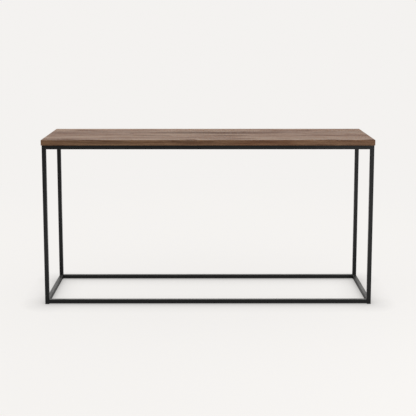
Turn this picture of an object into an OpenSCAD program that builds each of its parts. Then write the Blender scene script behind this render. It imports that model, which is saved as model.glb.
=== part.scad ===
// Console table: a solid wood top on a welded frame of slim square steel tube.
// All sizes are millimetres. X runs along the table, Y from front to back and Z up.
// The origin is on the floor, under the middle of the top.

/* [Table] */
// Height from the floor to the top surface
table_h = 760; // [400:10:1100]
// How far the wooden top stands past the frame on every side
overhang = 3; // [0:1:20]

/* [Wooden top] */
// Length of the top, along the grain
top_l = 1500; // [900:10:2000]
// Depth of the top, front to back
top_d = 420; // [280:5:600]
// Thickness of the top
top_t = 25; // [22:1:40]
// Number of boards glued edge to edge
board_count = 5; // [3:1:7]
// Radius of the eased edges round the top
edge_r = 2; // [0.5:0.5:5]

/* [Steel tube] */
// Outside width of the square tube
tube_w = 18; // [14:0.5:30]
// Wall of the tube
tube_wall = 1.5; // [1:0.1:2]
// Outside corner radius of the tube
tube_r = 2; // [1.2:0.1:3]

/* [Welds] */
// Leg length of the small fillet welds inside the corners
weld_leg = 2.2; // [1:0.1:4]
// Leg length of the fillet weld under each fixing tab
tab_weld_leg = 2; // [1:0.1:4]

/* [Foot plugs] */
// Thickness of the plastic pad that shows under each leg
pad_t = 3; // [2:0.5:8]
// Length of the ribbed stem inside the leg
stem_l = 18; // [14:1:30]
// Width of the stem's core
stem_core_w = 8; // [4:0.5:9]
// Thickness of one rib
rib_t = 1.2; // [0.8:0.1:1.6]
// Number of ribs
rib_count = 4; // [2:1:5]
// Gap between a rib and the tube's inner wall
rib_gap = 0.05; // [0.02:0.01:0.2]

/* [Fixing tabs] */
// Tabs on each long rail
tabs_per_rail = 4; // [2:1:6]
// Distance from the frame's end to the first tab's middle
tab_end_gap = 180; // [80:5:250]
// Length of a tab along its rail
tab_l = 30; // [22:1:50]
// Reach of a tab inwards from its rail
tab_reach = 20; // [16:1:30]
// Thickness of a tab
tab_t = 3; // [2:0.5:5]
// Corner radius of a tab's free corners
tab_corner_r = 3; // [1:0.5:6]
// Distance from the rail to the middle of the screw slot
slot_offset = 11; // [9:0.5:14]
// Length of the screw slot, across the grain
slot_l = 8; // [5:0.5:9]

/* [Screws] */
// Outside diameter of the screw thread
screw_d = 4; // [3:0.5:5]
// Length of the screw under its head
screw_l = 20; // [14:1:20]
// Diameter of the pan head
head_d = 8; // [7:0.5:10]
// Height of the pan head
head_h = 2.6; // [2:0.1:3.5]
// Outside diameter of the washer
washer_d = 9; // [8:0.5:12]
// Thickness of the washer
washer_t = 0.8; // [0.5:0.1:1.5]
// Gap round the thread, in the board and the washer, on each side
screw_gap = 0.05; // [0.02:0.01:0.2]
// Gap round the thread in the tab's slot, on each side
slot_gap = 0.25; // [0.1:0.05:0.5]
// Wood left clear past the screw's point
pilot_spare = 1.5; // [0.5:0.5:2]

/* [Hidden] */
$fn = 48;
frame_l = top_l - 2 * overhang;
frame_d = top_d - 2 * overhang;
frame_top = table_h - top_t;                        // the top rests here
leg_l = frame_top - pad_t;
long_rail_l = frame_l - 2 * tube_w;
short_rail_l = frame_d - 2 * tube_w;
bore_w = tube_w - 2 * tube_wall;                    // inside width of the tube
bore_r = max(tube_r - tube_wall, 0.3);              // inside corner radius of the tube
board_w = top_d / board_count;
tab_pitch = (frame_l - 2 * tab_end_gap) / (tabs_per_rail - 1);
side_tab_y = board_count % 2 == 0 ? board_w / 2 : 0;  // keeps the screw off a glue line
crown_h = 1;                                        // rise of the pan head's domed face
crown_r = (pow(head_d / 2, 2) + pow(crown_h, 2)) / (2 * crown_h);
recess_w = 1.1;                                     // one arm of the cross recess
recess_l = 0.55 * head_d;
recess_depth = 1.6;
point_l = 1.4 * screw_d;                            // cone at the screw's tip
seat_z = frame_top - tab_t - washer_t;              // underside of the washers
pilot_top = seat_z + screw_l + pilot_spare;
cut = 1;                                            // how far a cutter runs past a face

ends = [["front", -1], ["back", 1]];
sides = [["left", -1], ["right", 1]];
levels = [["bottom", 0], ["top", 1]];

// Where each tab's slot meets its rail: [x, y, turn about Z]
long_tab_x = [for (i = [1:tabs_per_rail]) (i - (tabs_per_rail + 1) / 2) * tab_pitch];
function long_tab_place(i, end) = [long_tab_x[i - 1], end * short_rail_l / 2, end < 0 ? 0 : 180];
function short_tab_place(side) = [side * long_rail_l / 2, side_tab_y, side < 0 ? -90 : 90];
tab_places = concat(
    [for (e = ends, i = [1:tabs_per_rail]) long_tab_place(i, e[1])],
    [for (s = sides) short_tab_place(s[1])]
);

// A centred rectangle whose corners are true arcs
module rounded_rect(w, d, r) {
    square([w - 2 * r, d], center = true);
    square([w, d - 2 * r], center = true);
    for (x = [-1, 1], y = [-1, 1])
        translate([x * (w / 2 - r), y * (d / 2 - r)]) circle(r = r);
}

// A length of square tube standing on Z = 0
module tube(length) {
    linear_extrude(length) difference() {
        rounded_rect(tube_w, tube_w, tube_r);
        rounded_rect(bore_w, bore_w, bore_r);
    }
}

// ---- Wooden top ----

// The whole top as one block, with eased edges on all sides
module top_blank() {
    intersection() {
        translate([-top_l / 2, 0, table_h - top_t / 2])
            rotate([90, 0, 90]) linear_extrude(top_l) rounded_rect(top_d, top_t, edge_r);
        translate([0, top_d / 2, table_h - top_t / 2])
            rotate([90, 0, 0]) linear_extrude(top_d) rounded_rect(top_l, top_t, edge_r);
        translate([0, 0, frame_top]) linear_extrude(top_t) rounded_rect(top_l, top_d, edge_r);
    }
}

// One board of the top, counted from the front, with its pilot holes
module top_board(i) {
    color("#6b4d3a") difference() {
        intersection() {
            top_blank();
            translate([-top_l / 2 - cut, -top_d / 2 + (i - 1) * board_w, frame_top - cut])
                cube([top_l + 2 * cut, board_w, top_t + 2 * cut]);
        }
        for (p = tab_places) at_slot(p) translate([0, 0, frame_top - cut])
            cylinder(d = screw_d + 2 * screw_gap, h = pilot_top - frame_top + cut);
    }
}

// ---- Frame ----

module leg(side, end) {
    color("#2b2b2d") translate([side * (frame_l - tube_w) / 2, end * (frame_d - tube_w) / 2, pad_t])
        tube(leg_l);
}

// Height of a rail's centre line, at the foot or at the head of the legs
function rail_z(level) = level == 0 ? pad_t + tube_w / 2 : frame_top - tube_w / 2;

module long_rail(level, end) {
    color("#2b2b2d") translate([-long_rail_l / 2, end * (frame_d - tube_w) / 2, rail_z(level)])
        rotate([0, 90, 0]) tube(long_rail_l);
}

module short_rail(level, side) {
    color("#2b2b2d") translate([side * (frame_l - tube_w) / 2, short_rail_l / 2, rail_z(level)])
        rotate([90, 0, 0]) tube(short_rail_l);
}

// Right-angled bead of leg length a on Z, centred on the length given
module bead(a, length) {
    translate([0, 0, -length / 2]) linear_extrude(length) polygon([[0, 0], [a, 0], [0, a]]);
}

// Weld ground flush where the tube's round corner meets a rail's square end.
// The leg stands at X < 0 and the rail runs to +X; Y = 0 is their shared outer face.
module flush_fill() {
    intersection() {
        translate([-tube_r, 0, -tube_w / 2]) linear_extrude(tube_w) difference() {
            square([tube_r, tube_r]);
            translate([0, tube_r]) circle(r = tube_r);
        }
        translate([-tube_r - cut, tube_w / 2, 0])
            rotate([90, 0, 90]) linear_extrude(tube_r + 2 * cut) rounded_rect(tube_w, tube_w, tube_r);
    }
}

// All the weld of one frame corner. X and Y run inwards along the two rails from the leg's outer
// faces, and Z runs along the leg from its end.
module corner_weld_parts() {
    flat = tube_w - 2 * tube_r;
    mid = tube_w / 2;
    translate([tube_w, 0, mid]) flush_fill();
    mirror([1, -1, 0]) translate([tube_w, 0, mid]) flush_fill();
    translate([tube_w, mid, tube_w]) rotate([90, 0, 0]) bead(weld_leg, flat);
    mirror([1, -1, 0]) translate([tube_w, mid, tube_w]) rotate([90, 0, 0]) bead(weld_leg, flat);
    translate([tube_w, tube_w, mid]) bead(weld_leg, flat);
}

module corner_weld(level, end, side) {
    color("#2b2b2d")
        translate([side * frame_l / 2, end * frame_d / 2, level == 0 ? pad_t : frame_top])
            mirror([side > 0 ? 1 : 0, 0, 0]) mirror([0, end > 0 ? 1 : 0, 0])
                mirror([0, 0, level]) corner_weld_parts();
}

// ---- Foot plugs ----

// Plastic plug pushed into the leg, with the pad that stands on the floor
module foot_plug(side, end) {
    rib_w = bore_w - 2 * rib_gap;
    rib_pitch = (stem_l - rib_t) / rib_count;
    color("#141414") translate([side * (frame_l - tube_w) / 2, end * (frame_d - tube_w) / 2, 0]) {
        linear_extrude(pad_t) rounded_rect(tube_w, tube_w, tube_r);
        translate([-stem_core_w / 2, -stem_core_w / 2, pad_t - cut / 2])
            cube([stem_core_w, stem_core_w, stem_l + cut / 2]);
        for (i = [1:rib_count]) translate([0, 0, pad_t + i * rib_pitch])
            linear_extrude(rib_t) rounded_rect(rib_w, rib_w, bore_r);
    }
}

// ---- Fixing tabs, washers and screws ----

module at_rail(p) { translate([p[0], p[1], 0]) rotate([0, 0, p[2]]) children(); }

module at_slot(p) { at_rail(p) translate([0, slot_offset, 0]) children(); }

// Slot that lets the wood move across its grain
module screw_slot() {
    slot_w = screw_d + 2 * slot_gap;
    run = max(slot_l - slot_w, 0.5);
    translate([0, 0, frame_top - tab_t - cut]) {
        for (y = [-1, 1]) translate([0, y * run / 2, 0]) cylinder(d = slot_w, h = tab_t + 2 * cut);
        translate([-slot_w / 2, -run / 2, 0]) cube([slot_w, run, tab_t + 2 * cut]);
    }
}

// Steel tab welded to the inside of a top rail, level with the rail's top
module fixing_tab(p) {
    color("#2b2b2d") difference() {
        at_rail(p) translate([0, 0, frame_top - tab_t]) linear_extrude(tab_t) {
            translate([-tab_l / 2, 0]) square([tab_l, tab_reach - tab_corner_r]);
            translate([-tab_l / 2 + tab_corner_r, 0]) square([tab_l - 2 * tab_corner_r, tab_reach]);
            for (x = [-1, 1]) translate([x * (tab_l / 2 - tab_corner_r), tab_reach - tab_corner_r])
                circle(r = tab_corner_r);
        }
        at_slot(p) screw_slot();
    }
}

module tab_welds() {
    color("#2b2b2d") for (p = tab_places) at_rail(p) translate([0, 0, frame_top - tab_t])
        rotate([0, -90, 0]) mirror([1, 0, 0]) bead(tab_weld_leg, tab_l - 2 * tab_weld_leg);
}

module top_washers() {
    color("#b9bcc0") for (p = tab_places) at_slot(p) translate([0, 0, seat_z]) difference() {
        cylinder(d = washer_d, h = washer_t);
        translate([0, 0, -cut]) cylinder(d = screw_d + 2 * screw_gap, h = washer_t + 2 * cut);
    }
}

// Pan-head wood screw pointing up, with the underside of its head at Z = 0
module screw() {
    difference() {
        intersection() {
            translate([0, 0, -head_h]) cylinder(d = head_d, h = head_h);
            translate([0, 0, crown_r - head_h]) sphere(r = crown_r, $fn = 96);
        }
        for (turn = [0, 90]) rotate([0, 0, turn])
            translate([-recess_w / 2, -recess_l / 2, -head_h - cut])
                cube([recess_w, recess_l, recess_depth + cut]);
    }
    cylinder(d = screw_d, h = screw_l - point_l);
    translate([0, 0, screw_l - point_l]) cylinder(d1 = screw_d, d2 = 0.4, h = point_l);
}

module top_screws() {
    color("#b9bcc0") for (p = tab_places) at_slot(p) translate([0, 0, seat_z]) screw();
}

for (i = [1:board_count])
    top_board(i);
for (e = ends, s = sides)
    leg(s[1], e[1]);
for (v = levels, e = ends)
    long_rail(v[1], e[1]);
for (v = levels, s = sides)
    short_rail(v[1], s[1]);
for (v = levels, e = ends, s = sides)
    corner_weld(v[1], e[1], s[1]);
for (e = ends, s = sides)
    foot_plug(s[1], e[1]);
for (e = ends, i = [1:tabs_per_rail])
    fixing_tab(long_tab_place(i, e[1]));
for (s = sides)
    fixing_tab(short_tab_place(s[1]));
tab_welds();
top_washers();
top_screws();
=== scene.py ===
# Console table: a solid wood top on a slim welded frame of black square tube. All sizes are metres.
from math import pi, radians

import bpy
import numpy as np
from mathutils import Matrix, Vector


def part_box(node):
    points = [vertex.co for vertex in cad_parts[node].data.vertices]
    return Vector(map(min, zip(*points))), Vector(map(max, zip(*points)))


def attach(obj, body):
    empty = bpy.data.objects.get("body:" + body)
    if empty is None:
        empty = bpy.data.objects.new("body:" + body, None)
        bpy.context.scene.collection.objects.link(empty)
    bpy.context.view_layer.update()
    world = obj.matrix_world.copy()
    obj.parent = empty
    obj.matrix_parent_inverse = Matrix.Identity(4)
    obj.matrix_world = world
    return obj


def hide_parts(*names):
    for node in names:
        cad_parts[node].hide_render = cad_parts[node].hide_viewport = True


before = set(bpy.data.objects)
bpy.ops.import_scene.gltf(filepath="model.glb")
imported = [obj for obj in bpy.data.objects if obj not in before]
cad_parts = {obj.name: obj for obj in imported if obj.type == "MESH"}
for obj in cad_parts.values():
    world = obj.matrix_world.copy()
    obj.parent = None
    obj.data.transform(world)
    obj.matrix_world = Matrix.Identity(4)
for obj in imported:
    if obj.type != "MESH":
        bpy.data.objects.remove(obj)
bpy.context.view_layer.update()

scene = bpy.context.scene
mm = 0.001
print("frame loaded:", len(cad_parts), "CAD pieces")


# Camera, floor and light
cameraView = {
    "lens": 75.54, "sensor": 36.0,         # millimetres
    "place": (-0.0068, -4.0835, 1.2797),
    "lookDown": 7.188,                     # degrees
    "turnRight": 0.097,                    # degrees
    "shiftUp": -0.18,                      # in frame widths, keeps the legs upright
    "seesTo": 100.0,
}

camera = bpy.data.objects.new("camera", bpy.data.cameras.new("camera"))
camera.data.lens = cameraView["lens"]
camera.data.sensor_width = cameraView["sensor"]
camera.data.shift_y = cameraView["shiftUp"]
camera.data.clip_end = cameraView["seesTo"]
camera.location = cameraView["place"]
camera.rotation_euler = (radians(90 - cameraView["lookDown"]), 0, radians(-cameraView["turnRight"]))
scene.collection.objects.link(camera)
scene.camera = camera
scene.view_settings.view_transform = "Standard"


def setInputs(tree, made, inputs):
    # An input is either a value or a socket to link from
    for key, value in inputs.items():
        if isinstance(value, bpy.types.NodeSocket):
            tree.links.new(value, made.inputs[key])
        else:
            made.inputs[key].default_value = value


def addNode(tree, kind, inputs=None, **settings):
    # One shader node with its settings and inputs
    made = tree.nodes.new(kind)
    for key, value in settings.items():
        setattr(made, key, value)
    setInputs(tree, made, inputs or {})
    return made


def maths(tree, operation, a, b=0.0, c=0.0):
    # One step of arithmetic on up to three numbers or sockets; MULTIPLY_ADD is a * b + c
    return addNode(tree, "ShaderNodeMath", {0: a, 1: b, 2: c}, operation=operation).outputs[0]


def vectorMaths(tree, operation, a, b=(0.0, 0.0, 0.0)):
    # The same for vectors, axis by axis; LENGTH gives a number
    made = addNode(tree, "ShaderNodeVectorMath", {0: a, 1: b}, operation=operation)
    return made.outputs["Value" if operation == "LENGTH" else "Vector"]


def mixColour(tree, factor, a, b, blend="MIX"):
    # The Mix node's colour sockets are inputs 6 and 7 and output 2
    made = addNode(tree, "ShaderNodeMix", {0: factor, 6: a, 7: b}, data_type="RGBA", blend_type=blend)
    return made.outputs[2]


def remap(tree, value, fromLow, fromHigh, toLow=0.0, toHigh=1.0, kind="SMOOTHSTEP"):
    # toLow + (toHigh - toLow) * t, where t goes smoothly from 0 at fromLow to 1 at fromHigh
    made = addNode(tree, "ShaderNodeMapRange", {0: value, 1: fromLow, 2: fromHigh, 3: toLow, 4: toHigh},
                   interpolation_type=kind)
    return made.outputs[0]


def roundNoise(tree, point, lumps, detail, roughness=0.5):
    # Noise with as many lumps to the metre along every axis
    made = addNode(tree, "ShaderNodeTexNoise",
                   {"Vector": point, "Scale": lumps, "Detail": detail, "Roughness": roughness})
    return made.outputs[0]


def noise(tree, point, stretch, detail=3.0, roughness=0.55):
    # Noise on the point after each axis is multiplied by its own number of lumps to the metre
    return roundNoise(tree, vectorMaths(tree, "MULTIPLY", point, stretch), 1.0, detail, roughness)


stage = {
    "backdrop": (0.904, 0.888, 0.871, 1),   # pale warm white, linear
    "floorReach": 40.0,
    "floorDrop": 0.1 * mm,                  # keeps the floor clear of the pads
    "floorTone": (0.74, 0.727, 0.713, 1),
    "shadowPart": 0.16,                     # share of the floor that real light and shadows fall on
    "shadowFade": (1.6, 3.2),               # distance over which that share fades to none
    "contactReach": 0.12,                   # how far the painted contact shadow reaches round the feet
    "contactDepth": 0.56,
    "contactSpread": 0.55,                  # below 1 the painted shadow dies away more slowly
    "underBounce": 0.5,                     # painted light that the floor's glow throws back up: by the table,
    "poolBounce": 1.25,                     # in the painted pool of light round it,
    "farBounce": 0.12,                      # and far off, as a share of the pool's
    "poolStart": (0.7, 1.4),                # distance over which the pool brightens
    "poolEnd": (2.2, 3.8),                  # and over which it dies away
    "frontLight": 0.29,                     # brightness of the dome on each side
    "backLight": 1.08,
    "overheadLight": 1.7,
    "frontToBack": (-0.3, 0.9),             # how far back the side light starts to grow, and ends
    "upToOverhead": (0.35, 0.85),           # how high the overhead light starts, and is full
    "lightTint": (1.0, 0.985, 0.965, 1),
    "fillPlace": (1.75, -1.7, 0.75),        # soft panel to the right of the camera
    "fillAim": (0.55, -0.2, 0.55),
    "fillWatts": 14.0,
    "fillSize": 1.1,
}


def makeFloor():
    # A wide plate that glows like the backdrop, so no horizon shows. Its glow carries a painted contact
    # shadow: what a point's surroundings hide of its sky, to the power contactSpread, darkens it by
    # contactDepth. What it throws back up at the table is a painted pool of light that depends on the
    # distance d: paintedBounce = ramp(d, poolStart) * ramp(d, poolEnd).
    reach, drop = stage["floorReach"], -stage["floorDrop"]
    corners = [(-reach, -reach, drop), (reach, -reach, drop), (reach, reach, drop), (-reach, reach, drop)]
    mesh = bpy.data.meshes.new("studio_floor")
    mesh.from_pydata(corners, [], [[0, 1, 2, 3]])
    floor = bpy.data.objects.new("studio_floor", mesh)
    scene.collection.objects.link(floor)
    paper = bpy.data.materials.new("studio paper")
    paper.use_nodes = True
    tree = paper.node_tree
    tree.nodes.clear()
    place = addNode(tree, "ShaderNodeTexCoord").outputs["Object"]
    distance = vectorMaths(tree, "LENGTH", place)
    nearby = remap(tree, distance, *stage["shadowFade"], stage["shadowPart"], 0.0)
    # painted contact shadow, darkening the floor's glow where its sky is hidden
    around = addNode(tree, "ShaderNodeAmbientOcclusion", {"Distance": stage["contactReach"]}, samples=32)
    hidden = maths(tree, "SUBTRACT", 1.0, around.outputs["AO"])
    shade = maths(tree, "POWER", hidden, stage["contactSpread"])
    paintedContactShadow = maths(tree, "MULTIPLY_ADD", shade, -stage["contactDepth"], 1.0)
    cameraRay = addNode(tree, "ShaderNodeLightPath").outputs["Is Camera Ray"]
    # painted pool of light: how brightly the floor glows for every ray but the camera's
    paintedBounce = maths(tree, "MULTIPLY",
                   remap(tree, distance, *stage["poolStart"], stage["underBounce"], stage["poolBounce"]),
                   remap(tree, distance, *stage["poolEnd"], 1.0, stage["farBounce"]))
    glow = addNode(tree, "ShaderNodeEmission", {
        "Color": mixColour(tree, 1.0, stage["backdrop"], paintedContactShadow, "MULTIPLY"),
        "Strength": remap(tree, cameraRay, 0.0, 1.0, paintedBounce, 1.0, "LINEAR"),
    })
    matt = addNode(tree, "ShaderNodeBsdfDiffuse", {"Color": stage["floorTone"]})
    lit = addNode(tree, "ShaderNodeMixShader", {0: nearby, 1: glow.outputs[0], 2: matt.outputs[0]})
    clear = addNode(tree, "ShaderNodeBsdfTransparent")  # seen from below
    under = addNode(tree, "ShaderNodeNewGeometry").outputs["Backfacing"]
    both = addNode(tree, "ShaderNodeMixShader", {0: under, 1: lit.outputs[0], 2: clear.outputs[0]})
    addNode(tree, "ShaderNodeOutputMaterial", {"Surface": both.outputs[0]})
    mesh.materials.append(paper)


def makeDome():
    # Soft light from all round, by direction: from frontLight at -Y to backLight at +Y, and overheadLight
    # above. The camera sees the plain backdrop instead.
    world = bpy.data.worlds.new("studio dome")
    scene.world = world
    world.use_nodes = True
    tree = world.node_tree
    tree.nodes.clear()
    direction = addNode(tree, "ShaderNodeSeparateXYZ",
                        {0: addNode(tree, "ShaderNodeTexCoord").outputs["Generated"]})
    sideLight = remap(tree, direction.outputs["Y"], *stage["frontToBack"],
                      stage["frontLight"], stage["backLight"])
    overhead = remap(tree, direction.outputs["Z"], *stage["upToOverhead"])
    level = addNode(tree, "ShaderNodeMix", {0: overhead, 2: sideLight, 3: stage["overheadLight"]},
                    data_type="FLOAT").outputs[0]
    light = addNode(tree, "ShaderNodeBackground", {"Color": stage["lightTint"], "Strength": level})
    seen = addNode(tree, "ShaderNodeBackground", {"Color": stage["backdrop"], "Strength": 1.0})
    cameraRay = addNode(tree, "ShaderNodeLightPath").outputs["Is Camera Ray"]
    both = addNode(tree, "ShaderNodeMixShader", {0: cameraRay, 1: light.outputs[0], 2: seen.outputs[0]})
    addNode(tree, "ShaderNodeOutputWorld", {"Surface": both.outputs[0]})


def makeFill():
    # A soft panel turned to face its aim point, which lifts the right-hand end a little
    panel = bpy.data.objects.new("fill panel", bpy.data.lights.new("fill panel", "AREA"))
    panel.data.energy = stage["fillWatts"]
    panel.data.size = stage["fillSize"]
    panel.location = stage["fillPlace"]
    aim = Vector(stage["fillAim"]) - panel.location
    panel.rotation_euler = aim.to_track_quat("-Z", "Y").to_euler()
    panel.visible_camera = False
    scene.collection.objects.link(panel)


makeFloor()
makeDome()
makeFill()
print("camera, floor and light set")


# Shared ways of making a surface
meshing = {
    "crispAngle": 40,              # degrees, edges bent more than this stay crisp
    "arcSteps": 6, "lead": 0.4 * mm,
    "cornerEnds": (0.12, 0.88),    # how far into its arc a corner's first and last points count
}


def skin(rings, ends="poles", rub=0.0):
    # Skin over rings of points, an array of (rings, points round, 3). "loop" joins the last ring to the
    # first; "poles" closes each end with a fan to its middle. The signed volume, a third of the sum of
    # each face's corner product, tells whether the faces must be turned to point outwards.
    count, around = rings.shape[:2]
    row = np.arange(count if ends == "loop" else count - 1)[:, None]
    column = np.arange(around)[None, :]
    nextRow, nextColumn = (row + 1) % count, (column + 1) % around
    quads = np.stack(np.broadcast_arrays(
        row * around + column, row * around + nextColumn,
        nextRow * around + nextColumn, nextRow * around + column), axis=-1).reshape(-1, 4)
    points = rings.reshape(-1, 3)
    rubbed = np.broadcast_to(rub, (count, around)).reshape(-1)
    triangles = np.zeros((0, 3), int)
    if ends == "poles":
        first, last = len(points), len(points) + 1
        here, after = column[0], nextColumn[0]
        lastRing = (count - 1) * around
        triangles = np.vstack([
            np.stack([after, here, np.full(around, first)], axis=1),
            np.stack([lastRing + here, lastRing + after, np.full(around, last)], axis=1),
        ])
        points = np.vstack([points, rings[0].mean(axis=0), rings[-1].mean(axis=0)])
        rubbed = np.append(rubbed, [0.0, 0.0])
    corners = np.vstack([quads[:, [0, 1, 2]], quads[:, [0, 2, 3]], triangles])
    a, b, c = np.moveaxis((points - points.mean(axis=0))[corners], 1, 0)
    if np.einsum("ij,ij->", a, np.cross(b, c)) < 0:
        quads, triangles = quads[:, ::-1], triangles[:, ::-1]
    return {"points": points, "quads": quads, "triangles": triangles, "rub": rubbed}


def roundedOutline(left, right, low, high, radii, arcSteps=meshing["arcSteps"], lead=meshing["lead"]):
    # Rings of a rectangle with round corners, anticlockwise from its lower right corner. A corner point
    # is centre + radius * (cos a, sin a), and one more point stands just past each end of the arc so that
    # the flats stay flat in the light. Returns an array of (rings, points round, 2), and sin(pi * how far
    # round its corner) for each point, 0 on the flats.
    sides = [np.atleast_1d(np.asarray(v, float))[:, None] for v in (left, right, low, high)]
    left, right, low, high = sides
    rings = max(len(v) for v in sides)
    radii = np.broadcast_to(radii, (rings, 4))
    turned = np.concatenate([[0.0], np.linspace(0, 1, arcSteps + 1), [1.0]])
    slide = np.concatenate([[-lead], np.zeros(arcSteps + 1), [lead]])
    outline = []
    for k, (side, level) in enumerate([(right, low), (right, high), (left, high), (left, low)]):
        angle = (k - 1 + turned) * pi / 2
        radius = radii[:, k:k + 1]
        x = side + radius * ((-1 if k < 2 else 1) + np.cos(angle)) - slide * np.sin(angle)
        y = level + radius * ((1 if k in (0, 3) else -1) + np.sin(angle)) + slide * np.cos(angle)
        outline.append(np.stack(np.broadcast_arrays(x, y), axis=-1))
    corner = np.sin(pi * np.clip(turned, *meshing["cornerEnds"])) * (slide == 0)
    return np.concatenate(outline, axis=1), np.tile(corner, 4)


def carried(outline, steps, axis):
    # Flat rings, (rings, points round, 2), set at steps along one axis and lying in the other two
    rings = np.empty((*outline.shape[:2], 3))
    rings[..., [other for other in range(3) if other != axis]] = outline
    rings[..., axis] = steps[:, None]
    return rings


def addPiece(name, cadNode, skins, material):
    # One piece from its skins, with the rubbed-edge mask kept on its points
    starts = np.cumsum([0] + [len(s["points"]) for s in skins])
    faces = []
    for part, start in zip(skins, starts):
        faces += (part["quads"] + start).tolist() + (part["triangles"] + start).tolist()
    mesh = bpy.data.meshes.new(name)
    mesh.from_pydata(np.vstack([s["points"] for s in skins]).tolist(), [], faces)
    mesh.update()
    mesh.shade_smooth()
    mesh.set_sharp_from_angle(angle=radians(meshing["crispAngle"]))
    rub = np.concatenate([s["rub"] for s in skins]).astype(np.float32)
    mesh.attributes.new("rub", "FLOAT", "POINT").data.foreach_set("value", rub)
    mesh.materials.append(material)
    piece = bpy.data.objects.new(name, mesh)
    scene.collection.objects.link(piece)
    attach(piece, "root")
    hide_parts(cadNode)


def boxOf(cadNode):
    # A CAD piece's lowest and highest corner
    low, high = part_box(cadNode)
    return np.array(low), np.array(high)


# Shared effects: grain, marks in the wood, coat texture, rubbed edges, and dust that on the black coat also
# paints a sheen
def newGroup(name, inputs, outputs):
    # A node group with named sockets; returns its tree, its input node and its output node
    group = bpy.data.node_groups.new(name, "ShaderNodeTree")
    for label, kind, value in inputs:
        socket = group.interface.new_socket(name=label, in_out="INPUT", socket_type=kind)
        if value is not None:
            socket.default_value = value
    for label, kind in outputs:
        group.interface.new_socket(name=label, in_out="OUTPUT", socket_type=kind)
    return group, group.nodes.new("NodeGroupInput"), group.nodes.new("NodeGroupOutput")


number, vector, colour = "NodeSocketFloat", "NodeSocketVector", "NodeSocketColor"

grainLook = {
    # lumps to the metre along X, Y and Z
    "slowWaves": (2.2, 9, 9), "quickWaves": (16, 60, 60),
    "fibres": (9, 330, 330), "pores": (55, 1500, 1500),
    "streaks": (3.2, 62, 62), "mottle": (14, 30, 30), "broad": (1.5, 9, 9),
    "quickSway": 0.0022,           # metres that the quick waves push a ring
    "lateRise": (0.15, 0.86), "lateFall": (1.0, 0.9),     # where in a ring the late wood comes and goes
    "lateWood": 0.35, "lateWoodSpread": 0.55,             # its darkness, and how much that differs
    "poreEdge": (0.60, 0.70), "warmEdge": (0.40, 0.62),   # noise levels where pores and warm wood begin
    # how strongly each darkens the wood
    "allOver": 0.08, "fibreContrast": 1.5, "streakContrast": 2.0, "mottleContrast": 0.6,
    "broadContrast": 1.4, "poreContrast": 0.55, "poreTone": (0.022, 0.012, 0.008, 1),
    "fibreHeight": 0.45, "lateWoodHeight": 0.25, "poreHeight": -0.7,
    # dark wood is open and dull, pale wood takes a sheen
    "roughness": 0.33, "fibreRoughness": 0.14, "mottleRoughness": 0.10,
    "darkRoughness": 0.42, "poreRoughness": 0.2,
}


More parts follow.
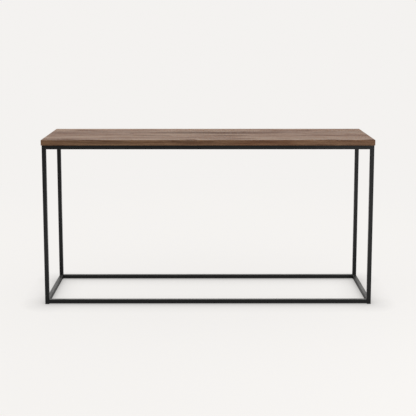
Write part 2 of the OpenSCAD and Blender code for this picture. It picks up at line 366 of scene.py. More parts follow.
def makeGrainGroup():
    # Wood as it grows: ring number = (distance from the pith + noise + bend) / ring width, and the late
    # wood is where its fraction nears 1. Noise drawn out along X gives streaks, fibres and pores, and
    # broad noise shifts the tone from board end to board end.
    group, given, result = newGroup("wood grain", [
        ("Point", vector, None), ("Sway", number, 0.012), ("Ring Width", number, 0.0045),
        ("Bend", number, 0.0), ("Dark", colour, (0.07, 0.034, 0.018, 1)),
        ("Light", colour, (0.2, 0.11, 0.062, 1)), ("Warm", colour, (0.16, 0.066, 0.032, 1)),
        ("Warmth", number, 0.5),
    ], [("Colour", colour), ("Roughness", number), ("Height", number)])
    point = given.outputs["Point"]
    slow = maths(group, "SUBTRACT", noise(group, point, grainLook["slowWaves"], detail=2.0), 0.5)
    quick = maths(group, "SUBTRACT", noise(group, point, grainLook["quickWaves"], detail=2.0), 0.5)
    radius = vectorMaths(group, "LENGTH", vectorMaths(group, "MULTIPLY", point, (0, 1, 1)))
    swayed = maths(group, "MULTIPLY_ADD", slow, given.outputs["Sway"], radius)
    swayed = maths(group, "MULTIPLY_ADD", quick, grainLook["quickSway"], swayed)
    swayed = maths(group, "ADD", swayed, given.outputs["Bend"])
    rings = maths(group, "DIVIDE", swayed, given.outputs["Ring Width"])
    within = maths(group, "FRACT", rings)
    lateWood = maths(group, "MULTIPLY", remap(group, within, *grainLook["lateRise"]),
                     remap(group, within, *grainLook["lateFall"]))
    ringTone = addNode(group, "ShaderNodeTexWhiteNoise", {"W": maths(group, "FLOOR", rings)},
                       noise_dimensions="1D").outputs["Value"]
    fibres = noise(group, point, grainLook["fibres"], detail=5.0, roughness=0.62)
    pores = remap(group, noise(group, point, grainLook["pores"], detail=2.0), *grainLook["poreEdge"])
    streaks = noise(group, point, grainLook["streaks"])
    mottle = noise(group, point, grainLook["mottle"])
    broad = noise(group, point, grainLook["broad"])
    depth = maths(group, "MULTIPLY_ADD", ringTone, grainLook["lateWoodSpread"], grainLook["lateWood"])
    dark = maths(group, "MULTIPLY", lateWood, depth)
    for layer, contrast in ((fibres, "fibreContrast"), (streaks, "streakContrast"),
                            (mottle, "mottleContrast"), (broad, "broadContrast")):
        offMiddle = maths(group, "SUBTRACT", layer, 0.5)
        dark = maths(group, "MULTIPLY_ADD", offMiddle, grainLook[contrast], dark)
    warmer = maths(group, "MULTIPLY", remap(group, broad, *grainLook["warmEdge"]), given.outputs["Warmth"])
    tone = mixColour(group, warmer, given.outputs["Light"], given.outputs["Warm"])
    tone = mixColour(group, maths(group, "ADD", dark, grainLook["allOver"]), tone, given.outputs["Dark"])
    inPores = maths(group, "MULTIPLY", pores, grainLook["poreContrast"])
    tone = mixColour(group, inPores, tone, grainLook["poreTone"])
    height = maths(group, "MULTIPLY_ADD", fibres, grainLook["fibreHeight"],
                   maths(group, "MULTIPLY", lateWood, grainLook["lateWoodHeight"]))
    height = maths(group, "MULTIPLY_ADD", pores, grainLook["poreHeight"], height)
    rough = maths(group, "MULTIPLY_ADD", fibres, grainLook["fibreRoughness"], grainLook["roughness"])
    rough = maths(group, "MULTIPLY_ADD", mottle, grainLook["mottleRoughness"], rough)
    rough = maths(group, "MULTIPLY_ADD", maths(group, "MAXIMUM", dark, 0.0),
                  grainLook["darkRoughness"], rough)
    rough = maths(group, "MULTIPLY_ADD", pores, grainLook["poreRoughness"], rough)
    group.links.new(tone, result.inputs["Colour"])
    group.links.new(rough, result.inputs["Roughness"])
    group.links.new(height, result.inputs["Height"])
    return group


markLook = {"lumps": (14, 160, 160), "raggedness": 1.1, "fade": (1.0, 0.15)}


def makeMarkGroup():
    # A soft spot at a centre, by the length of (point - centre) / size with noise added: 1 in the middle,
    # 0 past the edge. Long and thin it is a mineral streak, short it is a pin knot.
    group, given, result = newGroup("mark in the wood", [
        ("Point", vector, None), ("Centre", vector, None), ("Size", vector, None),
    ], [("Mask", number)])
    offset = vectorMaths(group, "SUBTRACT", given.outputs["Point"], given.outputs["Centre"])
    ragged = noise(group, given.outputs["Point"], markLook["lumps"], roughness=0.5)
    scaled = vectorMaths(group, "LENGTH", vectorMaths(group, "DIVIDE", offset, given.outputs["Size"]))
    scaled = maths(group, "MULTIPLY_ADD", maths(group, "SUBTRACT", ragged, 0.5),
                   markLook["raggedness"], scaled)
    group.links.new(remap(group, scaled, *markLook["fade"]), result.inputs["Mask"])
    return group


wearLook = {
    "rubEdge": (0.44, 0.66),
    "dustAndSheenSlope": (0.55, 0.95),     # how level a face must be to take dust and painted sheen: none, all
    "cloudLumps": (9, 9, 9), "cloudEdge": (0.3, 0.7), "cloudRange": (0.55, 1.0),
    "speckLumps": (900, 900, 900), "speckEdge": (0.55, 0.75), "speckRange": (0.7, 1.6),
}


def makeRubGroup():
    # Where edges are rubbed: the piece's own edge mask * noise patches * amount
    group, given, result = newGroup("rubbed edges", [
        ("Point", vector, None), ("Lumps", number, 60.0), ("Amount", number, 0.5),
    ], [("Mask", number)])
    edge = addNode(group, "ShaderNodeAttribute", attribute_name="rub").outputs["Fac"]
    patches = roundNoise(group, given.outputs["Point"], given.outputs["Lumps"],
                         detail=5.0, roughness=0.7)
    worn = maths(group, "MULTIPLY", edge, remap(group, patches, *wearLook["rubEdge"]))
    group.links.new(maths(group, "MULTIPLY", worn, given.outputs["Amount"]), result.inputs["Mask"])
    return group


def makeDustAndSheenGroup():
    # Fine dust on faces that look up, on the black coat also a painted sheen; thicker in patches: slope *
    # clouds * specks * amount
    group, given, result = newGroup("settled dust and painted sheen", [
        ("Point", vector, None), ("Amount", number, 0.1),
    ], [("Mask", number)])
    normal = addNode(group, "ShaderNodeNewGeometry").outputs["Normal"]
    level = addNode(group, "ShaderNodeSeparateXYZ", {0: normal}).outputs["Z"]
    up = remap(group, level, *wearLook["dustAndSheenSlope"])
    cloud = noise(group, given.outputs["Point"], wearLook["cloudLumps"], detail=4.0, roughness=0.6)
    cloud = remap(group, cloud, *wearLook["cloudEdge"], *wearLook["cloudRange"])
    specks = noise(group, given.outputs["Point"], wearLook["speckLumps"], detail=2.0)
    specks = remap(group, specks, *wearLook["speckEdge"], *wearLook["speckRange"])
    mask = maths(group, "MULTIPLY", maths(group, "MULTIPLY", up, cloud), specks)
    group.links.new(maths(group, "MULTIPLY", mask, given.outputs["Amount"]), result.inputs["Mask"])
    return group


peelLook = {"fineShare": 0.35, "shadeLumps": (7, 7, 7)}


def makePeelGroup():
    # The faint lumps of a baked coat or of moulded plastic: height = lumps + fineShare * fine lumps
    group, given, result = newGroup("coat texture", [
        ("Point", vector, None), ("Lumps", number, 700.0), ("Fine", number, 2600.0),
    ], [("Height", number), ("Shade", number)])
    lumps = roundNoise(group, given.outputs["Point"], given.outputs["Lumps"], detail=1.0)
    fine = roundNoise(group, given.outputs["Point"], given.outputs["Fine"], detail=2.0)
    height = maths(group, "MULTIPLY_ADD", fine, peelLook["fineShare"], lumps)
    group.links.new(height, result.inputs["Height"])
    shade = noise(group, given.outputs["Point"], peelLook["shadeLumps"], detail=4.0)
    group.links.new(shade, result.inputs["Shade"])
    return group


woodGrain = makeGrainGroup()
woodMark = makeMarkGroup()
rubbedEdges = makeRubGroup()
settledDustAndSheen = makeDustAndSheenGroup()
coatTexture = makePeelGroup()


def useGroup(tree, group, inputs):
    # A group node; its inputs are set once it has its group, and so its sockets
    made = addNode(tree, "ShaderNodeGroup", node_tree=group)
    setInputs(tree, made, inputs)
    return made


def newMaterial(name):
    # A material with one shader; returns it, its tree, the shader and the point in the piece's own frame
    material = bpy.data.materials.new(name)
    material.use_nodes = True
    tree = material.node_tree
    tree.nodes.clear()
    shader = addNode(tree, "ShaderNodeBsdfPrincipled")
    addNode(tree, "ShaderNodeOutputMaterial", {"Surface": shader.outputs[0]})
    place = addNode(tree, "ShaderNodeTexCoord").outputs["Object"]
    return material, tree, shader, place


def addWear(tree, place, tone, look):
    # Rubbed edges over a tone, and dust with its painted sheen over both; returns the new tone and the mask
    # of the rubbed edges
    rub = useGroup(tree, rubbedEdges, {
        "Point": place, "Lumps": look["rubLumps"], "Amount": look["rubAmount"],
    }).outputs["Mask"]
    dustAndSheen = useGroup(tree, settledDustAndSheen, {"Point": place, "Amount": look["dustAndSheenAmount"]}).outputs["Mask"]
    rubbed = mixColour(tree, rub, tone, look["rubbedTone"])
    return mixColour(tree, dustAndSheen, rubbed, look["dustAndSheenTone"]), rub


def joinShader(tree, shader, tone, rough, height, bump):
    # Joins a finish's colour, roughness and height to its shader; bump is (strength, depth)
    bumped = addNode(tree, "ShaderNodeBump", {"Strength": bump[0], "Distance": bump[1], "Height": height})
    for socket, value in (("Base Color", tone), ("Roughness", rough), ("Normal", bumped.outputs[0])):
        tree.links.new(value, shader.inputs[socket])


# Wooden top
topBoards = {
    "edgeRadius": 2.0 * mm,        # eased edge round the whole top
    "glueRadius": 0.18 * mm,       # barely there, along the glue lines
    "leastRadius": 0.03 * mm,
    "wornMore": 0.35,              # how much the eased edge grows where hands and cloths have rubbed it
    "wornWaves": (7, 19, 43, 91),  # radians to the metre
    "ringStep": 9 * mm,
    "edgeSteps": 7, "lead": 0.5 * mm, "endLead": 0.6 * mm,
    # for each board, front to back: pith (y, z) from the board's middle, ring width, grain angle in
    # degrees, sway, warmth, and how light it is
    "boards": [
        ((0.010, -0.060), 4.6 * mm, 0.5, 0.022, 0.9, 0.93),
        ((-0.055, -0.045), 3.9 * mm, -0.8, 0.020, 0.45, 1.02),
        ((0.020, -0.075), 5.0 * mm, 0.7, 0.030, 0.5, 0.98),
        ((-0.035, 0.090), 4.2 * mm, -0.4, 0.024, 0.75, 0.90),
        ((0.060, -0.050), 4.4 * mm, 0.9, 0.018, 0.6, 1.10),
    ],
    "logStep": 3.7,                # metres of log from one board's stretch to the next one's
    # streaks and pin knots in each board: centre, size along each axis, strength
    "marks": {
        1: [((0.62, -0.209, 0.758), (0.05, 0.007, 0.004), 0.8),
            ((0.635, -0.205, 0.760), (0.012, 0.006, 0.006), 0.9),
            ((-0.10, -0.205, 0.752), (0.16, 0.03, 0.009), 0.5),
            ((-0.46, -0.209, 0.748), (0.24, 0.03, 0.009), 0.4)],
        2: [((-0.26, -0.062, 0.760), (0.20, 0.024, 0.03), 0.7),
            ((0.10, -0.060, 0.760), (0.14, 0.022, 0.03), 0.7)],
        3: [((0.02, 0.036, 0.760), (0.40, 0.018, 0.03), 0.9),
            ((-0.36, 0.025, 0.760), (0.018, 0.008, 0.02), 1.0)],
        4: [((0.00, 0.056, 0.760), (0.44, 0.030, 0.03), 0.85),
            ((0.515, 0.062, 0.760), (0.018, 0.008, 0.02), 1.0)],
        5: [((0.49, 0.160, 0.760), (0.016, 0.008, 0.02), 1.0),
            ((-0.60, 0.150, 0.760), (0.10, 0.014, 0.03), 0.6)],
    },
    "markBend": 0.012,             # metres that a mark pushes the rings aside
    "markTone": (0.036, 0.014, 0.006, 1), "markShare": 0.8, "markRoughness": 0.3,
    "dark": (0.074, 0.026, 0.010), "lightTone": (0.208, 0.116, 0.062), "warmTone": (0.166, 0.070, 0.031),
    "endTone": (0.05, 0.026, 0.015, 1), "endShare": 0.45,    # end grain drinks more oil
    "endEdge": (0.5, 0.9),         # how far a face must turn to X to count as end grain: a little, all
    "rubbedTone": (0.26, 0.165, 0.105, 1), "rubLumps": 45.0, "rubAmount": 0.35, "endRub": 0.8,
    "dustAndSheenTone": (0.42, 0.39, 0.36, 1), "dustAndSheenAmount": 0.035,
    "bump": (0.35, 0.25 * mm),     # strength and depth
    "specular": 0.28,
}


def boardMaterial(boardNumber):
    # Grain round a pith that runs beside the board, a little askew, in the board's own stretch of log,
    # then its marks, its darker ends, and wear
    pith, ringWidth, angle, sway, warmth, light = topBoards["boards"][boardNumber - 1]
    low, high = boxOf(f"top_board_{boardNumber}")
    middle = (low + high) / 2
    material, tree, shader, place = newMaterial(f"brown hardwood {boardNumber}")
    start = (-topBoards["logStep"] * boardNumber, middle[1] + pith[0], middle[2] + pith[1])
    log = addNode(tree, "ShaderNodeMapping", {
        "Vector": vectorMaths(tree, "SUBTRACT", place, start), "Rotation": (0, 0, radians(angle)),
    }, vector_type="POINT").outputs[0]
    marks = [
        maths(tree, "MULTIPLY", useGroup(tree, woodMark, {
            "Point": place, "Centre": centre, "Size": size,
        }).outputs["Mask"], strength)
        for centre, size, strength in topBoards["marks"][boardNumber]
    ]
    marked = marks[0]
    for other in marks[1:]:
        marked = maths(tree, "MAXIMUM", marked, other)
    tones = {socket: (*[c * light for c in topBoards[key]], 1)
             for socket, key in (("Dark", "dark"), ("Light", "lightTone"), ("Warm", "warmTone"))}
    grain = useGroup(tree, woodGrain, {
        "Point": log, "Sway": sway, "Ring Width": ringWidth, "Warmth": warmth,
        "Bend": maths(tree, "MULTIPLY", marked, topBoards["markBend"]), **tones,
    })
    stained = maths(tree, "MULTIPLY", marked, topBoards["markShare"])
    tone = mixColour(tree, stained, grain.outputs["Colour"], topBoards["markTone"])
    normal = addNode(tree, "ShaderNodeNewGeometry").outputs["Normal"]
    across = maths(tree, "ABSOLUTE", addNode(tree, "ShaderNodeSeparateXYZ", {0: normal}).outputs["X"])
    endGrain = remap(tree, across, *topBoards["endEdge"], 0.0, topBoards["endShare"])
    tone = mixColour(tree, endGrain, tone, topBoards["endTone"])
    tone = addWear(tree, place, tone, topBoards)[0]
    rough = maths(tree, "MULTIPLY_ADD", marked, topBoards["markRoughness"], grain.outputs["Roughness"])
    joinShader(tree, shader, tone, rough, grain.outputs["Height"], topBoards["bump"])
    shader.inputs["Specular IOR Level"].default_value = topBoards["specular"]
    return material


def boardSkin(boardNumber, count):
    # A rounded rectangle carried along X. Near each end it draws in by r * (1 - sin t) while X moves in by
    # r * (1 - cos t), a quarter circle; sides that meet the next board don't draw in. The outer corners'
    # radius is r * (1 + wornMore * the mean of slow waves where that is above 0), less the draw-in. Each
    # board has its own seed.
    low, high = boxOf(f"top_board_{boardNumber}")
    r, endLead, length = topBoards["edgeRadius"], topBoards["endLead"], high[0] - low[0]
    t = np.linspace(0, pi / 2, topBoards["edgeSteps"])
    easeX = np.concatenate([[0.0], r * (1 - np.cos(t)), [r + endLead]])
    easeIn = np.concatenate([[r + endLead], r * (1 - np.sin(t)), [0.0]])
    inner = np.linspace(r + endLead, length - r - endLead, int(round(length / topBoards["ringStep"])))
    x = low[0] + np.concatenate([easeX, inner[1:-1], length - easeX[::-1]])
    drawIn = np.concatenate([easeIn, np.zeros(len(inner) - 2), easeIn[::-1]])
    rng = np.random.default_rng(40 + boardNumber)
    waves = sum(np.sin(x * f + rng.uniform(0, 2 * pi)) for f in topBoards["wornWaves"])
    worn = 1 + topBoards["wornMore"] * np.clip(waves / len(topBoards["wornWaves"]), 0, 1)
    eased = np.maximum(r * worn - drawIn, topBoards["leastRadius"])
    glued = np.full(len(x), topBoards["glueRadius"])
    isFront, isBack = boardNumber == 1, boardNumber == count
    frontR, backR = eased if isFront else glued, eased if isBack else glued
    outline, corner = roundedOutline(low[1] + drawIn * isFront, high[1] - drawIn * isBack,
                                     low[2] + drawIn, high[2] - drawIn,
                                     np.stack([backR, backR, frontR, frontR], axis=1),
                                     topBoards["edgeSteps"], topBoards["lead"])
    isEased = np.repeat([isBack, isBack, isFront, isFront], len(corner) // 4)
    ends = (drawIn > 0) & (drawIn < r)
    return skin(carried(outline, x, 0), "poles",
                np.maximum(corner * isEased, ends[:, None] * topBoards["endRub"]))


boardCount = len(topBoards["boards"])
for i in range(1, boardCount + 1):
    addPiece(f"planed_board_{i}", f"top_board_{i}", [boardSkin(i, boardCount)],
             boardMaterial(i))
print("wooden top made:", boardCount, "boards")


# Steel frame: legs and rails
blackCoat = {
    "tone": (0.0068, 0.0072, 0.0075, 1), "palerTone": (0.0092, 0.0094, 0.0096, 1), "palerShare": 0.6,
    "lumps": 650.0, "fineLumps": 2400.0,       # to the metre
    "rubbedTone": (0.020, 0.020, 0.0205, 1), "rubLumps": 38.0, "rubAmount": 0.2,
    "rubRoughness": -0.12,                     # rubbing polishes the coat
    # dust on faces that look up, laid on thicker so that it also paints their sheen
    "dustAndSheenTone": (0.34, 0.33, 0.31, 1), "dustAndSheenAmount": 0.07,
    "shadeEdge": (0.3, 0.7), "roughness": (0.30, 0.42),
    "bump": (0.5, 0.05 * mm),
    "specular": 0.27,
}


def coatedSteel():
    # A baked black coat: two close tones and a roughness that follow the same slow clouds
    material, tree, shader, place = newMaterial("black baked coat")
    peel = useGroup(tree, coatTexture, {
        "Point": place, "Lumps": blackCoat["lumps"], "Fine": blackCoat["fineLumps"],
    })
    paler = maths(tree, "MULTIPLY", peel.outputs["Shade"], blackCoat["palerShare"])
    tone = mixColour(tree, paler, blackCoat["tone"], blackCoat["palerTone"])
    tone, rub = addWear(tree, place, tone, blackCoat)
    rough = remap(tree, peel.outputs["Shade"], *blackCoat["shadeEdge"], *blackCoat["roughness"])
    rough = maths(tree, "MULTIPLY_ADD", rub, blackCoat["rubRoughness"], rough)
    joinShader(tree, shader, tone, rough, peel.outputs["Height"], blackCoat["bump"])
    shader.inputs["Specular IOR Level"].default_value = blackCoat["specular"]
    return material


steel = coatedSteel()

squareTube = {
    "wall": 1.5 * mm, "outerRadius": 2.0 * mm, "innerRadius": 0.5 * mm,
    "arcSteps": 6, "lead": 0.5 * mm, "steps": 10,
}


def tubeSkin(cadNode):
    # A rounded square carried straight along the tube's longest side, its bore carried back, and the two
    # joined across the cut ends
    low, high = boxOf(cadNode)
    along = int(np.argmax(high - low))
    u, v = [axis for axis in range(3) if axis != along]
    wall, lead, arcSteps = squareTube["wall"], squareTube["lead"], squareTube["arcSteps"]
    length = high[along] - low[along]
    outerSteps = np.concatenate([[0], np.linspace(lead, length - lead, squareTube["steps"]), [length]])
    innerSteps = np.array([length, length - lead, lead, 0])
    outer, corner = roundedOutline(low[u], high[u], low[v], high[v], squareTube["outerRadius"], arcSteps)
    bore = roundedOutline(low[u] + wall, high[u] - wall, low[v] + wall, high[v] - wall,
                          squareTube["innerRadius"], arcSteps)[0]
    steps = np.concatenate([outerSteps, innerSteps])
    isOuter = np.arange(len(steps)) < len(outerSteps)
    section = np.where(isOuter[:, None, None], outer, bore)
    return skin(carried(section, low[along] + steps, along), "loop", corner * isOuter[:, None])


legNames = [f"{end}_{side}" for end in ("front", "back") for side in ("left", "right")]
railNames = [f"{level}_rail_{place}" for level in ("top", "bottom")
             for place in ("front", "back", "left", "right")]
for name in legNames:
    addPiece(f"tube_leg_{name}", f"leg_{name}", [tubeSkin(f"leg_{name}")], steel)
for name in railNames:
    addPiece(f"tube_{name}", name, [tubeSkin(name)], steel)
print("frame made:", len(legNames), "legs and", len(railNames), "rails")


# Welds
weld = {
    "leg": 2.2 * mm, "tabLeg": 2.0 * mm,
    "ripple": 1.25 * mm,       # one ripple along the bead
    "rippleDepth": 0.10,
    "rippleLead": 0.42,        # how far the crescents bow out, as a share of the leg
    "crest": (0.7, 0.75),      # power that widens the crests, and their middle height
    "uneven": ((0.05, 900), (0.03, 2100)),     # slow waves: share of the leg, radians to the metre
    "roundness": 0.45,         # 0 is a flat face, 1 a full quarter round
    "taper": 5,                # the higher, the blunter the bead's ends
    "buried": 0.12 * mm,       # how far its back is inside the steel
    "thinnest": 0.05 * mm,
    "ringsInRipple": 7, "endRings": 4, "faceSteps": 9,
    "sweep": 0.985,            # below 1 the end rings stop just short of the tip
    "rub": 0.4,
    "dish": 0.07 * mm,         # how far the ground-flush fills dip
    "fillRings": 27, "fillSteps": 6, "fillSweep": 0.992,
}


def sweptSteps(length, count, sweep):
    # Steps from end to end, length / 2 * sin(a), that crowd towards both ends
    return length / 2 * np.sin(np.linspace(-pi / 2, pi / 2, count) * sweep)


def beadSkin(root, along, first, second, length, size, seed):
    # A fillet bead: at s along it and angle a round its root, the face stands off by
    # size * taper(s) * (1 + ripple) / (cos a + sin a), eased towards a quarter round. The ripples are
    # crescents, so their phase leads in the middle of the face. Its back is just inside the steel.
    rng = np.random.default_rng(seed)
    steps = int(round(length / weld["ripple"] * weld["ringsInRipple"])) + weld["endRings"]
    s = sweptSteps(length, steps, weld["sweep"])
    a = np.linspace(0, pi / 2, weld["faceSteps"])
    taper = (1 - np.abs(2 * s / length) ** weld["taper"])[:, None] ** 0.5
    uneven = 1
    for depth, waves in weld["uneven"]:
        uneven = uneven + depth * np.sin(s * waves + rng.uniform(0, 6))
    phase = (s[:, None] + weld["rippleLead"] * size * np.sin(2 * a)) / weld["ripple"] + rng.uniform(0, 1)
    crestPower, crestMiddle = weld["crest"]
    ripple = np.abs(np.sin(pi * phase)) ** crestPower - crestMiddle
    face = (1 - weld["roundness"]) / (np.cos(a) + np.sin(a)) + weld["roundness"]
    stand = size * taper * uneven[:, None] * (1 + weld["rippleDepth"] * ripple * np.sin(2 * a)) * face
    stand = np.maximum(stand, weld["thinnest"])[..., None]
    root, along, first, second = (np.asarray(v, float) for v in (root, along, first, second))
    centre = root + s[:, None, None] * along
    faceRing = centre + stand * (np.cos(a)[:, None] * first + np.sin(a)[:, None] * second)
    back = centre - weld["buried"] * (first + second)
    return skin(np.concatenate([back, faceRing], axis=1), "poles", np.r_[0, np.sin(2 * a) * weld["rub"]])


def flushFillSkin(origin, xDir, yDir, zDir, width):
    # The fill between a leg's round corner, x = -r + sqrt(r^2 - (r - y)^2), and a rail's square end at
    # x = 0. Its outer face follows the rail's own rounded outline, and dips a little in the middle.
    r = squareTube["outerRadius"]
    z = sweptSteps(width, weld["fillRings"], weld["fillSweep"])
    past = np.maximum(np.abs(z) - (width / 2 - r), 0)
    face = (r - np.sqrt(r * r - past * past))[:, None]
    q = np.linspace(0, 1, weld["fillSteps"])
    legX = lambda y: -r + np.sqrt(np.maximum(r * r - (r - y) ** 2, 0))
    outX, outY = legX(face) * (1 - q), face + weld["dish"] * np.sin(pi * q) * (1 - face / r)
    sideY = face + (r - face) * q[1:]
    arcY = r - (r - face) * q[1:-1]
    x = np.concatenate([outX, np.zeros_like(sideY), legX(arcY)], axis=1)
    y = np.concatenate([outY, sideY, arcY], axis=1)
    rings = origin + x[..., None] * xDir + y[..., None] * yDir + z[:, None, None] * zDir
    return skin(rings, "poles")


def cornerWelds(level, name):
    # Five welds at one corner: two ground flush outside and three fillets inside, each fillet with its own
    # seed. X, Y and Z run inwards from the corner's outer point.
    low, high = boxOf(f"leg_{name}")
    width = high[0] - low[0]
    inward = np.array([-1.0 if high[0] > 0 else 1.0, -1.0 if high[1] > 0 else 1.0,
                       1.0 if level == "bottom" else -1.0])
    origin = np.where(inward > 0, low, high)
    x, y, z = np.eye(3) * inward
    flat = width - 2 * squareTube["outerRadius"]
    seed = 100 + 10 * legNames.index(name) + (5 if level == "top" else 0)
    middle = width / 2
    return [
        flushFillSkin(origin + width * x + middle * z, x, y, z, width),
        flushFillSkin(origin + width * y + middle * z, y, x, z, width),
        beadSkin(origin + width * x + middle * y + width * z, y, x, z, flat, weld["leg"], seed),
        beadSkin(origin + middle * x + width * y + width * z, x, y, z, flat, weld["leg"], seed + 1),
        beadSkin(origin + width * x + width * y + middle * z, z, x, y, flat, weld["leg"], seed + 2),
    ]


for level in ("bottom", "top"):
    for name in legNames:
        addPiece(f"corner_welds_{level}_{name}", f"weld_{level}_{name}", cornerWelds(level, name),
                 steel)
print("corner welds made")


# Foot plugs
footPlug = {
    "radius": 2.0 * mm,
    "padEdge": 0.6 * mm,                   # rounding of the pad's lower edge
    "padMargin": 0.8 * mm,                 # flat strip inside that rounding
    "padTop": (0.25 * mm, 0.12 * mm),      # broken upper edge: down and in
    "stemWidth": 8.0 * mm, "stemDraw": 0.4 * mm,
    "ribs": 4, "ribWidth": 14.9 * mm, "ribThickness": 1.2 * mm, "ribRadius": 0.5 * mm,
    "ribFlat": 0.4,                        # share of a rib's thickness before it slopes back
    "ribRoot": 0.6 * mm,                   # how far it still stands out where it ends
    "edgeSteps": 5, "arcSteps": 6, "lead": 0.25 * mm, "edgeRub": 0.7,
}

mouldedPlastic = {
    "tone": (0.006, 0.006, 0.0065, 1), "palerTone": (0.0095, 0.0095, 0.0098, 1),
    "lumps": 1500.0, "fineLumps": 5200.0,
    "rubbedTone": (0.035, 0.034, 0.033, 1), "rubLumps": 120.0, "rubAmount": 0.7,
    "dustAndSheenTone": blackCoat["dustAndSheenTone"], "dustAndSheenAmount": 0.1,
    "shadeEdge": (0.3, 0.7), "roughness": (0.5, 0.66),
    "bump": (0.6, 0.04 * mm),
    "specular": 0.4,
}


def mouldedBlack():
    # Duller than the coat, with finer lumps from the mould
    material, tree, shader, place = newMaterial("black moulded plastic")
    grain = useGroup(tree, coatTexture, {
        "Point": place, "Lumps": mouldedPlastic["lumps"], "Fine": mouldedPlastic["fineLumps"],
    })
    shade = grain.outputs["Shade"]
    tone = mixColour(tree, shade, mouldedPlastic["tone"], mouldedPlastic["palerTone"])
    tone = addWear(tree, place, tone, mouldedPlastic)[0]
    rough = remap(tree, shade, *mouldedPlastic["shadeEdge"], *mouldedPlastic["roughness"])
    joinShader(tree, shader, tone, rough, grain.outputs["Height"], mouldedPlastic["bump"])
    shader.inputs["Specular IOR Level"].default_value = mouldedPlastic["specular"]
    return material


def footSkin(name):
    # Rounded squares stacked up Z, each row (height, half width, corner radius): the pad with its lower
    # edge rounded by edge * (1 - cos a, 1 - sin a), then the stem, and ribs that stand out square below
    # and slope back above, so that they drive in but don't pull out
    low, high = boxOf(f"foot_plug_{name}")
    pad = boxOf(f"leg_{name}")[0][2] - low[2]
    half, stem, rib = (high[0] - low[0]) / 2, footPlug["stemWidth"] / 2, footPlug["ribWidth"] / 2
    edge, thick = footPlug["padEdge"], footPlug["ribThickness"]
    radius, ribRadius = footPlug["radius"], footPlug["ribRadius"]
    topDown, topIn = footPlug["padTop"]
    t = np.linspace(0, pi / 2, footPlug["edgeSteps"])
    rows = [(0.0, half - edge - footPlug["padMargin"], radius)]
    rows += [(edge * (1 - np.cos(a)), half - edge * (1 - np.sin(a)), radius) for a in t]
    rows += [(pad - topDown, half, radius), (pad, half - topIn, radius), (pad, stem, ribRadius)]
    pitch = (high[2] - low[2] - pad - thick) / footPlug["ribs"]
    for k in range(1, footPlug["ribs"] + 1):
        base = pad + k * pitch
        rows += [(base, stem, ribRadius), (base, rib, ribRadius),
                 (base + footPlug["ribFlat"] * thick, rib, ribRadius),
                 (base + thick, stem + footPlug["ribRoot"], ribRadius)]
    rows += [(high[2] - low[2], stem - footPlug["stemDraw"], ribRadius)]
    z, reach, corner = np.array(rows).T
    middle = (low + high) / 2
    outline, mask = roundedOutline(middle[0] - reach, middle[0] + reach,
                                   middle[1] - reach, middle[1] + reach,
                                   corner[:, None] * np.ones(4), footPlug["arcSteps"], footPlug["lead"])
    onPad = (z <= pad) & (reach > stem)
    onEdge = (z < edge) & (z > 0)
    return skin(carried(outline, low[2] + z, 2), "poles",
                np.maximum(mask * onPad[:, None], onEdge[:, None] * footPlug["edgeRub"]))


plastic = mouldedBlack()
for name in legNames:
    addPiece(f"foot_{name}", f"foot_plug_{name}", [footSkin(name)], plastic)
print("foot plugs made")


# Fixing tabs, washers and screws under the top
fixing = {
    # tab
    "cornerRadius": 3.0 * mm, "slotOffset": 11.0 * mm, "slotLength": 8.0 * mm, "slotWidth": 4.5 * mm,
    "edgeBreak": 0.3 * mm,
    # rubbing on each ring: out under the tab, up its edge, back over it and down the slot
    "tabRub": (0.3, 0.8, 1, 1, 0.8, 0.3, 0.3, 0.3),
    "cornerPoints": 12, "outlinePoints": 600, "slotPoints": (400, 40), "directions": 48,
    # washer
    "washerBore": 4.1 * mm, "washerWidth": 9.0 * mm, "washerBreak": 0.12 * mm,
    # screw
    "headWidth": 8.0 * mm, "headHeight": 2.6 * mm, "crown": 1.0 * mm,
    "headRings": ((0.06, 0.62, 15), (0.68, 0.97, 6)),   # from, to and how many, in head radii
    "recessWidth": 1.1 * mm, "recessLength": 4.4 * mm, "recessDepth": 1.6 * mm,
    "recessSlope": (0.15 * mm, 0.3 * mm),
    # down the head's side: head radii, and height over the crown's rim or the seat
    "rimAtCrown": ((0.995, 0.1 * mm), (1.0, 0.4 * mm)),
    "rimAtSeat": ((1.0, -0.15 * mm), (0.985, 0.0), (0.6, 0.0)),
    "screwWidth": 4.0 * mm, "coreWidth": 2.7 * mm, "threadPitch": 1.8 * mm, "pointLength": 5.6 * mm,
    "threadStart": 0.05 * mm, "neck": 1.5 * mm, "ridgeSharpness": 3.2, "bluntPoint": 0.03,
    "ringsInPitch": 8, "pointsRound": 40,
}
inwardOf = {"front": (0, 1), "back": (0, -1), "left": (1, 0), "right": (-1, 0)}
tabNames = [f"{end}_{i}" for end in ("front", "back") for i in (1, 2, 3, 4)] + ["left", "right"]


def tabPlace(name):
    # The middle of a tab's edge on its rail, the ways inwards and along the rail, the tab's length and
    # reach, and its lower and upper faces
    low, high = boxOf(f"fixing_tab_{name}")
    inward = np.array([*inwardOf[name.split("_")[0]], 0.0])
    along = np.array([inward[1], -inward[0], 0.0])
    middle = (low + high) / 2
    reach = abs((high - low) @ inward)
    onRail = middle - inward * reach / 2
    return onRail, inward, along, abs((high - low) @ along), reach, low[2], high[2]


def polarLoop(points, centre, angles):
    # A closed outline read again at given angles round a centre inside it, as
    # centre + radius(angle) * (cos angle, sin angle)
    offset = points - centre
    angle = np.arctan2(offset[:, 1], offset[:, 0])
    order = np.argsort(angle)
    radius = np.interp(angles, angle[order], np.hypot(*offset.T)[order], period=2 * pi)
    return centre + radius[:, None] * np.stack([np.cos(angles), np.sin(angles)], axis=1)


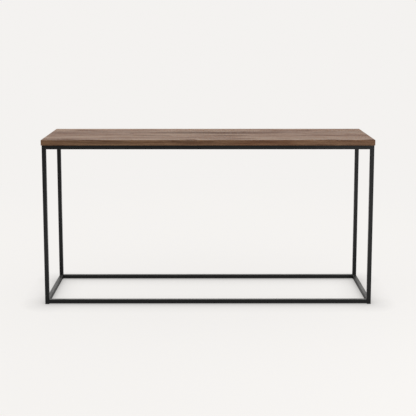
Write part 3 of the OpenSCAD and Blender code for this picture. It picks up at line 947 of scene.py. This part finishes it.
def tabSkin(name):
    # A flat ring between the slot and the tab's outline, both read at shared angles, with each edge broken
    # by edgeBreak. The slot is a straight run across the grain with half circles at its ends.
    onRail, inward, along, length, reach, bottom, top = tabPlace(name)
    r, brk = fixing["cornerRadius"], fixing["edgeBreak"]
    arc = np.linspace(0, pi / 2, fixing["cornerPoints"])
    right = np.array([length / 2 - r, reach - r]) + r * np.stack([np.cos(arc), np.sin(arc)], axis=1)
    left = np.array([-length / 2 + r, reach - r]) + r * np.stack([-np.sin(arc), np.cos(arc)], axis=1)
    keyPoints = np.vstack([[-length / 2, 0], [length / 2, 0], right, left, [-length / 2, 0]])
    pathLength = np.r_[0, np.cumsum(np.hypot(*np.diff(keyPoints, axis=0).T))]
    dense = np.sort(np.r_[np.linspace(0, pathLength[-1], fixing["outlinePoints"]), pathLength])[:-1]
    outline = np.stack([np.interp(dense, pathLength, keyPoints[:, k]) for k in (0, 1)], axis=1)
    centre = np.array([0.0, fixing["slotOffset"]])
    keyAngles = np.arctan2(*(keyPoints[:-1] - centre).T[::-1])
    evenAngles = np.linspace(-pi, pi, fixing["directions"] + 1)[:-1]
    angles = np.unique(np.round(np.r_[evenAngles, keyAngles], 6))
    outer = polarLoop(outline, centre, angles)
    half, run = fixing["slotWidth"] / 2, (fixing["slotLength"] - fixing["slotWidth"]) / 2
    roundPoints, straightPoints = fixing["slotPoints"]
    turn = np.linspace(0, 2 * pi, roundPoints, endpoint=False)
    rounds = np.stack([half * np.cos(turn), run * np.sign(np.sin(turn)) + half * np.sin(turn)], axis=1)
    straight = np.linspace(-run, run, straightPoints)
    sides = [np.stack([np.full(straightPoints, side), straight], 1) for side in (half, -half)]
    hole = polarLoop(np.vstack([centre + part for part in (rounds, *sides)]), centre, angles)

    def pull(loop, amount):
        # Each point moved towards the slot's middle
        return loop + (centre - loop) / np.linalg.norm(loop - centre, axis=1)[:, None] * amount

    loops = [(pull(hole, -brk), bottom), (pull(outer, brk), bottom), (outer, bottom + brk),
             (outer, top - brk), (pull(outer, brk), top), (pull(hole, -brk), top),
             (hole, top - brk), (hole, bottom + brk)]
    rings = np.stack([onRail * [1, 1, 0] + loop[:, :1] * along + loop[:, 1:] * inward + [0, 0, z]
                      for loop, z in loops])
    return skin(rings, "loop", np.array(fixing["tabRub"])[:, None])


for name in tabNames:
    addPiece(f"tab_{name}", f"fixing_tab_{name}", [tabSkin(name)], steel)

tabBeads = []
for k, name in enumerate(tabNames):
    onRail, inward, along, length, reach, bottom, top = tabPlace(name)
    root, leg = onRail * [1, 1, 0] + [0, 0, bottom], weld["tabLeg"]
    tabBeads.append(beadSkin(root, along, inward, (0, 0, -1), length - 2 * leg, leg, 300 + k))
addPiece("tab_weld_beads", "tab_welds", tabBeads, steel)
print("fixing tabs made:", len(tabNames))


zincPlate = {
    "tones": ((0.50, 0.51, 0.53, 1), (0.66, 0.66, 0.65, 1)),
    "cloudLumps": (160, 160, 160), "brushLumps": (2400, 2400, 260),    # to the metre
    "cloudEdge": (0.3, 0.7), "roughness": (0.27, 0.42),
    "bump": (0.3, 0.02 * mm),
}


def zincPlated():
    # Bright metal in two cloudy tones, with fine brush lines
    material, tree, shader, place = newMaterial("zinc plate")
    brushed = noise(tree, place, zincPlate["brushLumps"])
    cloudy = noise(tree, place, zincPlate["cloudLumps"])
    tone = mixColour(tree, cloudy, *zincPlate["tones"])
    rough = remap(tree, cloudy, *zincPlate["cloudEdge"], *zincPlate["roughness"])
    joinShader(tree, shader, tone, rough, brushed, zincPlate["bump"])
    shader.inputs["Metallic"].default_value = 1.0
    return material


def spun(radius, z, centre):
    # Rings turned round an upright line, centre + (radius cos a, radius sin a): radius and z are arrays
    # of (rings,) or (rings, points round)
    angle = np.linspace(0, 2 * pi, fixing["pointsRound"], endpoint=False)
    radius = radius if radius.ndim == 2 else radius[:, None]
    x, y = radius * np.cos(angle), radius * np.sin(angle)
    z = np.broadcast_to(z if z.ndim == 2 else z[:, None], x.shape)
    return np.stack([centre[0] + x, centre[1] + y, z], axis=-1)


def washerSkin(centre, bottom, top):
    # A small rectangle with broken corners spun round its bore
    bore, rim, brk = fixing["washerBore"] / 2, fixing["washerWidth"] / 2, fixing["washerBreak"]
    radius = np.array([bore, bore, bore + brk, rim - brk, rim, rim, rim - brk, bore + brk])
    z = np.array([bottom + brk, top - brk, top, top, top - brk, bottom + brk, bottom, bottom])
    return skin(spun(radius, z, centre), "loop")


def screwSkin(centre, seat, tip):
    # A pan head, z = -height + R - sqrt(R^2 - p^2), with a cross sunk in it, then a thread whose radius
    # rises and falls with (z / pitch - angle / turn), and a point where it all draws in
    angle = np.linspace(0, 2 * pi, fixing["pointsRound"], endpoint=False)
    head, tall, crown = fixing["headWidth"] / 2, fixing["headHeight"], fixing["crown"]
    crownRadius = (head ** 2 + crown ** 2) / (2 * crown)
    p = np.concatenate([np.linspace(*part) for part in fixing["headRings"]])[:, None] * head
    x, y = p * np.cos(angle), p * np.sin(angle)
    sideSlope, endSlope = fixing["recessSlope"]

    def inArm(a, b):
        # 1 inside one arm of the cross, 0 outside, with sloping sides
        return np.clip((fixing["recessWidth"] / 2 - np.abs(a)) / sideSlope + 0.5, 0, 1) \
            * np.clip((fixing["recessLength"] / 2 - np.abs(b)) / endSlope + 0.5, 0, 1)

    cross = np.maximum(inArm(x, y), inArm(y, x))
    headZ = -tall + crownRadius - np.sqrt(crownRadius ** 2 - p ** 2) + cross * fixing["recessDepth"]
    headRings = spun(np.broadcast_to(p, headZ.shape), headZ, centre)
    rim = [(r, -tall + crown + z) for r, z in fixing["rimAtCrown"]] + list(fixing["rimAtSeat"])
    rimR, rimZ = np.array(rim).T
    rimRings = spun(rimR * head, rimZ, centre)
    length, pitch, neck = tip - seat, fixing["threadPitch"], fixing["neck"]
    z = np.linspace(fixing["threadStart"], length, int(length / pitch * fixing["ringsInPitch"]))[:, None]
    turns = (z / pitch - angle / (2 * pi)) % 1.0
    ridge = np.clip(1 - np.abs(turns - 0.5) * fixing["ridgeSharpness"], 0, 1)
    core, outer = fixing["coreWidth"] / 2, fixing["screwWidth"] / 2
    fade = np.clip((length - z) / fixing["pointLength"], fixing["bluntPoint"], 1)
    threadR = (core + (outer - core) * ridge * np.clip((z - neck) / neck, 0, 1)) * fade
    threadRings = spun(threadR, np.broadcast_to(z, threadR.shape), centre)
    rings = np.concatenate([headRings, rimRings, threadRings])
    rings[..., 2] += seat
    return skin(rings, "poles")


zinc = zincPlated()
washerLow, washerHigh = boxOf("top_washers")
screwHigh = boxOf("top_screws")[1]
slotCentres = [tabPlace(name)[0] + tabPlace(name)[1] * fixing["slotOffset"] for name in tabNames]
addPiece("plated_washers", "top_washers", [washerSkin(c, washerLow[2], washerHigh[2]) for c in slotCentres],
         zinc)
addPiece("plated_screws", "top_screws", [screwSkin(c, washerLow[2], screwHigh[2]) for c in slotCentres],
         zinc)
print("washers and screws made:", len(slotCentres), "of each")
